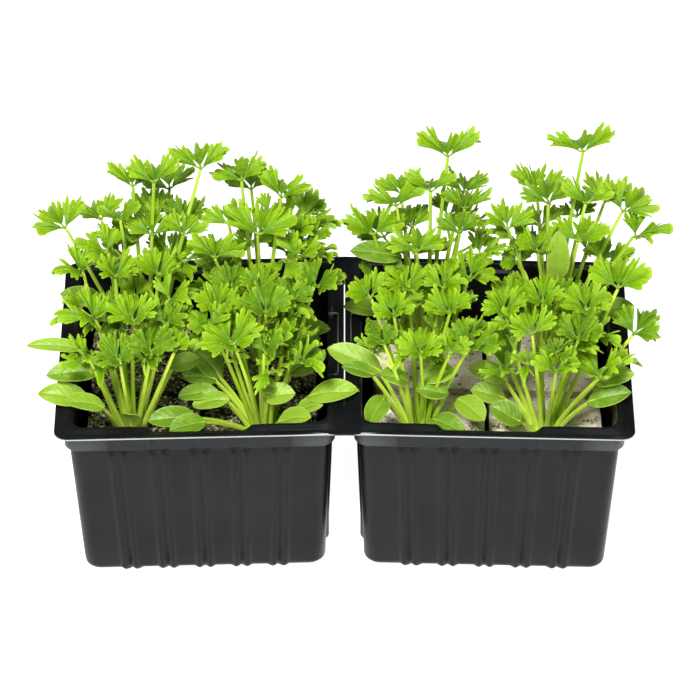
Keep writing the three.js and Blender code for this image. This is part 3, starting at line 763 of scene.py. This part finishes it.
# A grain is a squeezed regular body of twenty faces.
GOLDEN = (1 + math.sqrt(5)) / 2
LUMP_POINTS = [
    (-1, GOLDEN, 0), (1, GOLDEN, 0), (-1, -GOLDEN, 0), (1, -GOLDEN, 0),
    (0, -1, GOLDEN), (0, 1, GOLDEN), (0, -1, -GOLDEN), (0, 1, -GOLDEN),
    (GOLDEN, 0, -1), (GOLDEN, 0, 1), (-GOLDEN, 0, -1), (-GOLDEN, 0, 1),
]
LUMP_POINTS = np.array(LUMP_POINTS) / math.hypot(1, GOLDEN)
LUMP_FACES = [
    (0, 11, 5), (0, 5, 1), (0, 1, 7), (0, 7, 10), (0, 10, 11),
    (1, 5, 9), (5, 11, 4), (11, 10, 2), (10, 7, 6), (7, 1, 8),
    (3, 9, 4), (3, 4, 2), (3, 2, 6), (3, 6, 8), (3, 8, 9),
    (4, 9, 5), (2, 4, 11), (6, 2, 10), (8, 6, 7), (9, 8, 1),
]


def grains(side, blocks):
    """Loose crumbs and grit, half sunk in the tops of one cell's blocks."""
    shell = Shell()
    roll = dice(GRAIN_SEEDS[side])
    for x, y, crown, seed in blocks:
        for _ in range(GRAINS):
            px = x + roll(-GRAIN_SPREAD, GRAIN_SPREAD) * BLOCK
            py = y + roll(-GRAIN_SPREAD, GRAIN_SPREAD) * BLOCK
            if math.hypot(px - crown[0], py - crown[1]) < CROWN_CLEAR:
                continue
            size = 0.25 + 0.5 * roll() ** 2
            scale = np.array([roll(0.8, 1.4), roll(0.8, 1.4), roll(0.6, 1.0)]) * size
            dents = np.array([[roll(-1, 1)] for _ in LUMP_POINTS])
            lump = LUMP_POINTS * scale * (1 + 0.2 * dents)
            turn = roll(0, 2 * math.pi)
            c, s = math.cos(turn), math.sin(turn)
            lump = lump @ np.array([[c, -s, 0], [s, c, 0], [0, 0, 1]])
            at = bowed([(px, py, soil_height(px, py, seed) + size * 0.15)])[0]
            shell.add(lump + at, LUMP_FACES, tone=roll())
    settle(shell.make(f"grains_{side}", GRIT[side], 30), SOIL_SLOTS[side])


# ---- pack


def rib_pair_middle(pair):
    return (pair - (RIB_PAIRS - 1) / 2) * RIB_PAIR_PITCH


# Places along a cell's side, from one corner's arc to the next.
SIDE_PLACES = [
    rib_pair_middle(pair) + offset
    for pair in range(RIB_PAIRS)
    for offset in (*RIB_OFFSETS, 0, *(-o for o in reversed(RIB_OFFSETS)))
]


def rib_height(place):
    """Height of the ribs at a place along a wall that is WALL_TOP wide."""
    pair = round(place / RIB_PAIR_PITCH + (RIB_PAIRS - 1) / 2)
    across = abs(place - rib_pair_middle(pair))
    t = abs(across - RIB_SPACING / 2) / RIB_HALF
    return math.cos(math.pi / 2 * min(t, 1)) ** 1.5


def corner_share(along):
    """0 in the low middle of a rim side, 1 near its corners."""
    return smooth_step((abs(along) - MIDDLE_ZONE) / (CORNER_ZONE - MIDDLE_ZONE))


def wall_at(z, low, high):
    """Half-width of a wall at height z, and its shift towards the web."""
    half = mix(low, high, (z - FOOT_UP) / (RIB_TOP - FOOT_UP))
    return half, WALL_SHIFT * (RIB_TOP - z) / (RIB_TOP - WALL_LOW)


def cell_section(corner, rib):
    """Section of a cell from the middle of its underside round its rim to the middle of its
    floor, as (half-width, height, shift towards the web). `rib` is how far a rib stands out."""
    lip = mix(LIP_DOWN, LIP_UP, corner)
    collar = COLLAR + COLLAR_SWELL * corner
    foot = mix(COLLAR_FOOT["middle"], COLLAR_FOOT["corner"], corner)
    flange = RIM_Z - SHEET
    under = flange + min(lip, 0) - 0.1
    edge = CELL / 2
    section = [(CAP, 0, FOOT_SHIFT), (36.8, 0, FOOT_SHIFT)]
    for step in range(6):
        a = math.pi / 2 * step / 5
        z = FOOT_UP * (1 - math.cos(a))
        half = FOOT_EDGE + FOOT_OUT * math.sin(a) + 1.25 * rib * smooth_step(0.5 + z / 3)
        section.append((half, z, FOOT_SHIFT))
    for z in (12, 24, 36, 48, 55):
        half, shift = wall_at(z, FOOT_EDGE + FOOT_OUT, WALL_TOP)
        section.append((half + rib, z, shift))
    section += [
        # The ribs fade, then the wall steps out into the collar.
        (WALL_TOP - 0.1 + rib * 0.85, RIB_TOP, 0),
        (WALL_TOP - 0.05 + rib * 0.35, RIB_TOP + 0.8, 0),
        (WALL_TOP, RIB_END, 0),
        (WALL_TOP, foot - 0.35, 0),
        (WALL_TOP + 0.1, foot - 0.1, 0),
        (collar - 0.15, foot, 0),
        (collar, foot + 0.3, 0),
        (collar, under - 0.5, 0),
        # The flange's underside, its cut edge and its top.
        (collar + 0.25, under - 0.1, 0),
        (collar + 0.7, under, 0),
        (48.2, flange, 0),
        (edge - 0.25, flange, 0),
        (edge, flange + 0.2, 0),
        (edge, RIM_Z - 0.2, 0),
        (edge - 0.25, RIM_Z, 0),
        (47.9, RIM_Z, 0),
        # The inner lip, and the wall inside the collar.
        (47.3, RIM_Z + lip * 0.12, 0),
        (46.4, RIM_Z + lip * 0.75, 0),
        (45.6, RIM_Z + lip, 0),
        (44.9, RIM_Z + lip - 0.05, 0),
        (44.2, RIM_Z + lip - 0.5, 0),
        (43.95, RIM_Z + lip - 1.3, 0),
        (44.1, 62, 0),
        (44.15, 56, 0),
    ]
    inner = rib * 0.8
    for z in (54.6, 48, 36, 24, 12, 6):
        half, shift = wall_at(z, WALL_INSIDE, WALL_TOP - SHEET)
        section.append((half + inner, z, shift))
    return section + [
        (40.5 + inner * 0.6, 2.9, FOOT_SHIFT),
        (38.3, FLOOR_Z + 0.3, FOOT_SHIFT),
        (36.3, FLOOR_Z, FOOT_SHIFT),
        (CAP, FLOOR_Z, FOOT_SHIFT),
    ]


PLAIN_SECTION = cell_section(1, 0)  # a corner's


def cell(side):
    """One ribbed cell with its rim: the points, faces and marks of a closed body."""
    outline = []  # (turn of the side, place along a full-width side or None, arc angle)
    for quarter in range(4):
        outline += [(quarter, place, 0.0) for place in SIDE_PLACES]
        for step in range(CORNER_STEPS + 1):
            outline.append((quarter, None, math.pi / 2 * step / CORNER_STEPS))
    sections = [
        PLAIN_SECTION if place is None else cell_section(corner_share(place), rib_height(place))
        for _, place, _ in outline
    ]
    points = []
    for level, (plain, _, _) in enumerate(PLAIN_SECTION):
        straight = plain - CORNER_RADIUS
        for (quarter, place, arc), section in zip(outline, sections):
            out, z, shift = section[level]
            if place is None:
                along = straight + CORNER_RADIUS * math.sin(arc)
                out = straight + CORNER_RADIUS * math.cos(arc)
            else:
                # The ribs draw together towards the narrow foot of the wall.
                along = place * (straight / (WALL_TOP - CORNER_RADIUS) if z < RIB_END else 1)
            turn = quarter * math.pi / 2
            x = math.cos(turn) * out - math.sin(turn) * along
            y = math.sin(turn) * out + math.cos(turn) * along
            points.append((x - side * shift + side * CELL / 2, y, z))
    marks = np.zeros((len(PLAIN_SECTION), len(outline), 4))
    # The flange's cut edge is marked for a painted highlight.
    marks[[half == CELL / 2 for half, _, _ in PLAIN_SECTION], :, 0] = 1
    # The collar near the corners is marked for a painted sheen, a reflection of its bulge.
    start, end = COLLAR_SHEEN_SPAN
    marks[[half == COLLAR + COLLAR_SWELL for half, _, _ in PLAIN_SECTION], :, 1] = [
        1 if place is None else smooth_step((abs(place) - start) / (end - start))
        for _, place, _ in outline
    ]
    return bowed(points), ring_faces(len(PLAIN_SECTION), len(outline)), marks


def plank(name, corners, bottom, top):
    """A piece with an even height over an outline."""
    shell = Shell()
    points = [(x, y, z) for z in (bottom, top) for x, y in corners]
    shell.add(points, ring_faces(2, len(corners)))
    return shell.make(name, POT)


def joined(base, other, operation):
    """Applies one boolean to base and removes the other object."""
    cut = base.modifiers.new("join", "BOOLEAN")
    cut.object = other
    cut.operation = operation
    cut.solver = "MANIFOLD"
    graph = bpy.context.evaluated_depsgraph_get()
    made = bpy.data.meshes.new_from_object(base.evaluated_get(graph))
    base.modifiers.clear()
    base.data = made
    bpy.data.objects.remove(other)


def pack():
    """The formed sheet: both cells, the web that joins their flanges and its tear slit."""
    cells = []
    for side in (-1, 1):
        shell = Shell()
        shell.add(*cell(side))
        cells.append(shell.make(f"cell_{side + 1}", POT))
    end, peak, drop = CELL / 2, BOW * CELL, BOW * WEB
    right = [(WEB, -end + peak - drop), (WEB, peak - WAIST_END), (WEB_WAIST, peak - WAIST_END)]
    right += [(WEB_WAIST, peak + WAIST_END), (WEB, peak + WAIST_END), (WEB, end + peak - drop)]
    left = [(-x, y) for x, y in reversed(right)]
    outline = [(0, -end + peak), *right, (0, end + peak), *left]
    web = plank("web", outline, RIM_Z - SHEET, RIM_Z)
    reach, front, back = SLIT["width"] / 2, SLIT["front"], SLIT["back"]
    outline = [(-reach, front), (reach, front), (reach, back), (-reach, back)]
    slit = plank("slit", outline, RIM_Z - 3, RIM_Z + 3)
    whole = cells[0]
    joined(whole, cells[1], "UNION")
    joined(whole, web, "UNION")
    joined(whole, slit, "DIFFERENCE")
    whole.name = "nursery_pack"
    whole.data.shade_smooth()
    whole.data.set_sharp_from_angle(angle=math.radians(38))
    settle(whole, "pot_plastic", "double_pot")


# ---- materials


class Nodes:
    """Short names for the nodes of one material."""

    def __init__(self, name):
        self.material = bpy.data.materials.new(name)
        self.material.use_nodes = True
        self.tree = self.material.node_tree
        self.shader = self.tree.nodes["Principled BSDF"]

    def put(self, socket, value):
        if isinstance(value, bpy.types.NodeSocket):
            self.tree.links.new(value, socket)
        else:
            socket.default_value = value

    def fill(self, node, **inputs):
        """Sets or links a node's inputs; an underscore stands for a space in a name."""
        for name, value in inputs.items():
            self.put(node.inputs[name.replace("_", " ")], value)

    def node(self, kind, **inputs):
        made = self.tree.nodes.new("ShaderNode" + kind)
        self.fill(made, **inputs)
        return made

    def marks(self):
        """The four marks of a point, as sockets."""
        made = self.node("Attribute")
        made.attribute_name = "marks"
        split = self.node("SeparateColor", Color=made.outputs["Color"])
        return *split.outputs, made.outputs["Alpha"]

    def noise(self, scale, detail=3, roughness=0.5):
        """Noise over the object, `scale` in features a metre."""
        place = self.node("TexCoord").outputs["Object"]
        made = self.node("TexNoise", Vector=place, Scale=scale, Detail=detail, Roughness=roughness)
        return made.outputs["Fac"]

    def math(self, operation, a, b=0.0):
        made = self.node("Math")
        made.operation = operation
        self.put(made.inputs[0], a)
        self.put(made.inputs[1], b)
        return made.outputs[0]

    def spread(self, value, low, high, to_low=0.0, to_high=1.0):
        """A smooth step of the value, from to_low at low to to_high at high."""
        made = self.node("MapRange", Value=value, From_Min=low, From_Max=high)
        made.interpolation_type = "SMOOTHSTEP"
        self.fill(made, To_Min=to_low, To_Max=to_high)
        return made.outputs["Result"]

    def blend(self, share, first, second):
        made = self.node("Mix")
        made.data_type = "RGBA"
        self.fill(made, Factor=share, A=first, B=second)
        return made.outputs["Result"]

    def bump(self, height, strength, distance):
        made = self.node("Bump", Height=height, Strength=strength, Distance=distance)
        self.fill(self.shader, Normal=made.outputs["Normal"])

    def done(self, color, roughness, **inputs):
        self.fill(self.shader, Base_Color=color, Roughness=roughness, **inputs)
        return self.material


def plastic():
    """Satin black sheet. The flange's cut edge has a painted highlight and the collar near its
    corners a painted sheen.
    """
    n = Nodes("pot_plastic")
    cloud = n.noise(45, 3)
    fine = n.noise(900, 2)
    share = n.spread(cloud, 0.35, 0.7)
    color = n.blend(share, (0.0045, 0.005, 0.006, 1), (0.008, 0.009, 0.0105, 1))
    color = n.blend(n.spread(fine, 0.66, 0.8, 0, 0.3), color, (0.05, 0.05, 0.048, 1))
    edge, collar = n.marks()[:2]
    # Painted sheen: the collar near the corners is paler, as if its bulge reflected the light.
    color = n.blend(n.spread(collar, 0.3, 1.0), color, (0.045, 0.05, 0.049, 1))
    # Painted highlight: a bright line along the flange's cut edge.
    color = n.blend(n.spread(edge, 0.5, 1.0), color, (0.4, 0.42, 0.41, 1))
    rough = n.spread(cloud, 0.3, 0.7, 0.28, 0.42)
    n.bump(n.math("ADD", n.noise(130, 2), fine), 0.12, 0.0004)
    return n.done(color, rough, Specular_IOR_Level=0.17)


def soil(name, dark, mid, pale, pale_share, mid_range):
    """Pressed soil: dark and mid lumps, which change over within mid_range of the noise, and
    pale specks, more of them for a larger pale_share."""
    n = Nodes(name)
    lump = n.noise(260, 5, 0.65)
    speck = n.noise(900, 3, 0.6)
    patch = n.noise(60, 3)
    color = n.blend(n.spread(lump, *mid_range), dark, mid)
    color = n.blend(n.spread(speck, 0.62 - pale_share, 0.72 - pale_share), color, pale)
    color = n.blend(n.spread(patch, 0.5, 0.75, 0, 0.25), color, dark)
    n.bump(n.math("ADD", lump, n.math("MULTIPLY", speck, 0.5)), 0.9, 0.0009)
    return n.done(color, 0.95, Specular_IOR_Level=0.15)


def grit(name, dark, pale):
    """Loose grains, each dark or pale by its tone."""
    n = Nodes(name)
    tone = n.marks()[2]
    speck = n.noise(1200, 2)
    color = n.blend(n.spread(tone, 0.35, 0.65), dark, pale)
    color = n.blend(n.spread(speck, 0.4, 0.7, 0, 0.4), color, dark)
    n.bump(speck, 0.5, 0.0003)
    return n.done(color, 0.9, Specular_IOR_Level=0.2)


def leaf_look():
    """A cut leaf: painted shade that darkens it towards the fork, painted light that makes its
    tips paler, a paler underside, faint veins, and a tone of its own for each leaf."""
    n = Nodes("parsley_leaf")
    place, reach, tone, side = n.marks()
    # Painted shade: the leaf is darker towards the fork, deep inside the leaf.
    inside = n.spread(reach, 0.1, 0.9)
    upper = n.blend(inside, (0.1, 0.24, 0.001, 1), (0.23, 0.42, 0.002, 1))
    upper = n.blend(n.spread(tone, 0.5, 1.0, 0, 0.75), upper, (0.07, 0.18, 0.002, 1))
    vein = n.spread(n.math("ABSOLUTE", place), 0.0, 0.2, 0.12, 0)
    upper = n.blend(vein, upper, (0.33, 0.54, 0.02, 1))
    # Painted highlight: the tips and rims are paler, as if lit.
    upper = n.blend(n.spread(reach, 0.84, 1.0, 0, 0.5), upper, (0.42, 0.64, 0.03, 1))
    lower = n.blend(n.spread(tone, 0, 1, 0, 0.7), (0.28, 0.44, 0.035, 1), (0.13, 0.26, 0.012, 1))
    color = n.blend(side, lower, upper)
    cloud = n.noise(420, 3)
    color = n.blend(n.spread(cloud, 0.45, 0.75, 0, 0.3), color, (0.36, 0.58, 0.02, 1))
    n.bump(n.math("ADD", n.noise(900, 3), n.math("MULTIPLY", vein, -0.6)), 0.6, 0.0007)
    rough = n.spread(cloud, 0.3, 0.7, 0.42, 0.56)
    return n.done(color, rough, Specular_IOR_Level=0.3)


def seed_leaf_look():
    """A seed leaf: a pale midrib, margin and underside, and slanting veins."""
    n = Nodes("parsley_seed_leaf")
    across, along, tone, side = n.marks()
    middle = n.math("ABSOLUTE", across)
    upper = n.blend(n.spread(tone, 0, 1), (0.14, 0.28, 0.012, 1), (0.29, 0.46, 0.03, 1))
    upper = n.blend(n.spread(middle, 0.0, 0.1, 0.5, 0), upper, (0.42, 0.6, 0.08, 1))
    upper = n.blend(n.spread(middle, 0.86, 1.0, 0, 0.5), upper, (0.5, 0.7, 0.16, 1))
    color = n.blend(side, (0.3, 0.47, 0.05, 1), upper)
    cloud = n.noise(300, 4)
    color = n.blend(n.spread(cloud, 0.45, 0.75, 0, 0.4), color, (0.38, 0.57, 0.09, 1))
    slant = n.math("SUBTRACT", n.math("MULTIPLY", along, 40), n.math("MULTIPLY", middle, 12))
    veins = n.math("MULTIPLY", n.math("SINE", slant), 0.12)
    n.bump(n.math("ADD", veins, n.noise(700, 3)), 0.4, 0.0005)
    return n.done(color, 0.42, Specular_IOR_Level=0.4)


def stem_look():
    """A stem: yellow-green, paler at its foot, with faint stripes."""
    n = Nodes("parsley_stem")
    _, along, tone, _ = n.marks()
    color = n.blend(n.spread(tone, 0, 1), (0.36, 0.58, 0.02, 1), (0.6, 0.8, 0.08, 1))
    color = n.blend(n.spread(along, 0.0, 0.25, 0.4, 0), color, (0.55, 0.78, 0.08, 1))
    stripe = n.noise(260, 2)
    color = n.blend(n.spread(stripe, 0.5, 0.8, 0, 0.3), color, (0.36, 0.58, 0.02, 1))
    n.bump(stripe, 0.3, 0.0004)
    return n.done(color, 0.4, Specular_IOR_Level=0.35)


def floor_look():
    """A plain white floor that glows a little, so that it shows no shadow's edge."""
    n = Nodes("studio_floor")
    cloud = n.noise(3, 2)
    color = n.blend(n.spread(cloud, 0.3, 0.7), (0.5, 0.5, 0.5, 1), (0.53, 0.53, 0.53, 1))
    return n.done(color, 0.7, Emission_Color=(1, 1, 1, 1), Emission_Strength=0.98)


POT = plastic()
SOIL = {
    "left": soil(
        "soil_dark",
        dark=(0.012, 0.009, 0.004, 1),
        mid=(0.15, 0.13, 0.06, 1),
        pale=(0.75, 0.7, 0.45, 1),
        pale_share=0.09,
        mid_range=(0.38, 0.6),
    ),
    "right": soil(
        "soil_sandy",
        dark=(0.2, 0.15, 0.08, 1),
        mid=(0.98, 0.82, 0.62, 1),
        pale=(1, 0.94, 0.8, 1),
        pale_share=0.15,
        mid_range=(0.34, 0.46),
    ),
}
GRIT = {
    "left": grit("grit_dark", (0.03, 0.02, 0.012, 1), (0.85, 0.78, 0.58, 1)),
    "right": grit("grit_sandy", (0.2, 0.15, 0.09, 1), (0.95, 0.86, 0.66, 1)),
}
LEAF = leaf_look()
SEED_LEAF = seed_leaf_look()
STEM = stem_look()

# ---- the object

pack()
beds = {"left": [], "right": []}
for index, (place, spec) in enumerate(TUFTS.items()):
    side, row, column = place.split("_")
    sign = -1 if side == "left" else 1
    block_x = sign * CELL / 2 + sign * (1 if column == "outer" else -1) * BLOCK_X
    soil_block(place, block_x, BLOCK_Y[row], SOIL_SEED + index)
    beds[side].append((block_x, BLOCK_Y[row], spec["crown"], SOIL_SEED + index))
    tuft(place, spec, TUFT_SEED + index)
for side, blocks in beds.items():
    grains(side, blocks)

# ---- studio

FAR = 3  # half the floor's side, in metres
floor_mesh = bpy.data.meshes.new("studio_floor")
corners = [(-FAR, -FAR, 0), (FAR, -FAR, 0), (FAR, FAR, 0), (-FAR, FAR, 0)]
floor_mesh.from_pydata(corners, [], [(0, 1, 2, 3)])
floor_mesh.materials.append(floor_look())
floor = bpy.data.objects.new("studio_floor", floor_mesh)
bpy.context.scene.collection.objects.link(floor)
floor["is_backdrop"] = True


def area_light(name, at, size, power):
    """A round soft light that hangs at a place and shines at the plants."""
    data = bpy.data.lights.new(name, "AREA")
    data.shape = "DISK"
    data.size = size
    data.energy = power
    made = bpy.data.objects.new(name, data)
    made.location = at
    made.rotation_euler = (Vector(LIT) - Vector(at)).to_track_quat("-Z", "Y").to_euler()
    bpy.context.scene.collection.objects.link(made)


LIT = (0, 0, 0.07)  # the spot that every light shines at
area_light("key", (-0.25, -0.9, 1.25), 0.3, 27)
area_light("fill", (0.3, -1.3, 0.6), 0.5, 5)
area_light("back", (0.1, 0.35, 1.4), 0.5, 4)

world = bpy.data.worlds.new("studio")
world.use_nodes = True
background = world.node_tree.nodes["Background"]
background.inputs["Color"].default_value = (1, 1, 1, 1)
background.inputs["Strength"].default_value = 0.1
bpy.context.scene.world = world
bpy.context.scene.view_settings.view_transform = "Standard"

# ---- camera

IMAGE = 696  # the photograph's width and height in pixels
ELEVATION = math.radians(39.7)
FOCAL_PX = 4700  # focal length in pixels
AIM = (0, -50, RIM_Z)  # the front of the flange under the slit, in pack millimetres
AIM_PX = (344.5, 440)  # where it shows
DISTANCE = 1.612  # from the camera to AIM, in metres
SENSOR = 36

aim = Vector(np.array(AIM) * MM + PACK_ORIGIN)
back = Vector((0, -math.cos(ELEVATION), math.sin(ELEVATION)))
image_up = Vector((0, math.sin(ELEVATION), math.cos(ELEVATION)))
eye = aim + back * DISTANCE
pixel = DISTANCE / FOCAL_PX
middle_of_view = (
    aim
    + image_up * (AIM_PX[1] - IMAGE / 2) * pixel
    + Vector((1, 0, 0)) * (IMAGE / 2 - AIM_PX[0]) * pixel
)
camera_data = bpy.data.cameras.new("camera")
camera_data.sensor_width = SENSOR
camera_data.lens = FOCAL_PX / IMAGE * SENSOR
camera_data.clip_end = 50
camera = bpy.data.objects.new("camera", camera_data)
camera.location = eye
camera.rotation_euler = (middle_of_view - eye).to_track_quat("-Z", "Y").to_euler()
bpy.context.scene.collection.objects.link(camera)
bpy.context.scene.camera = camera

boxes = {"cad": CAD_BOX, "visual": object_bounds()}
{name: [list(corner) for corner in box] for name, box in boxes.items()}
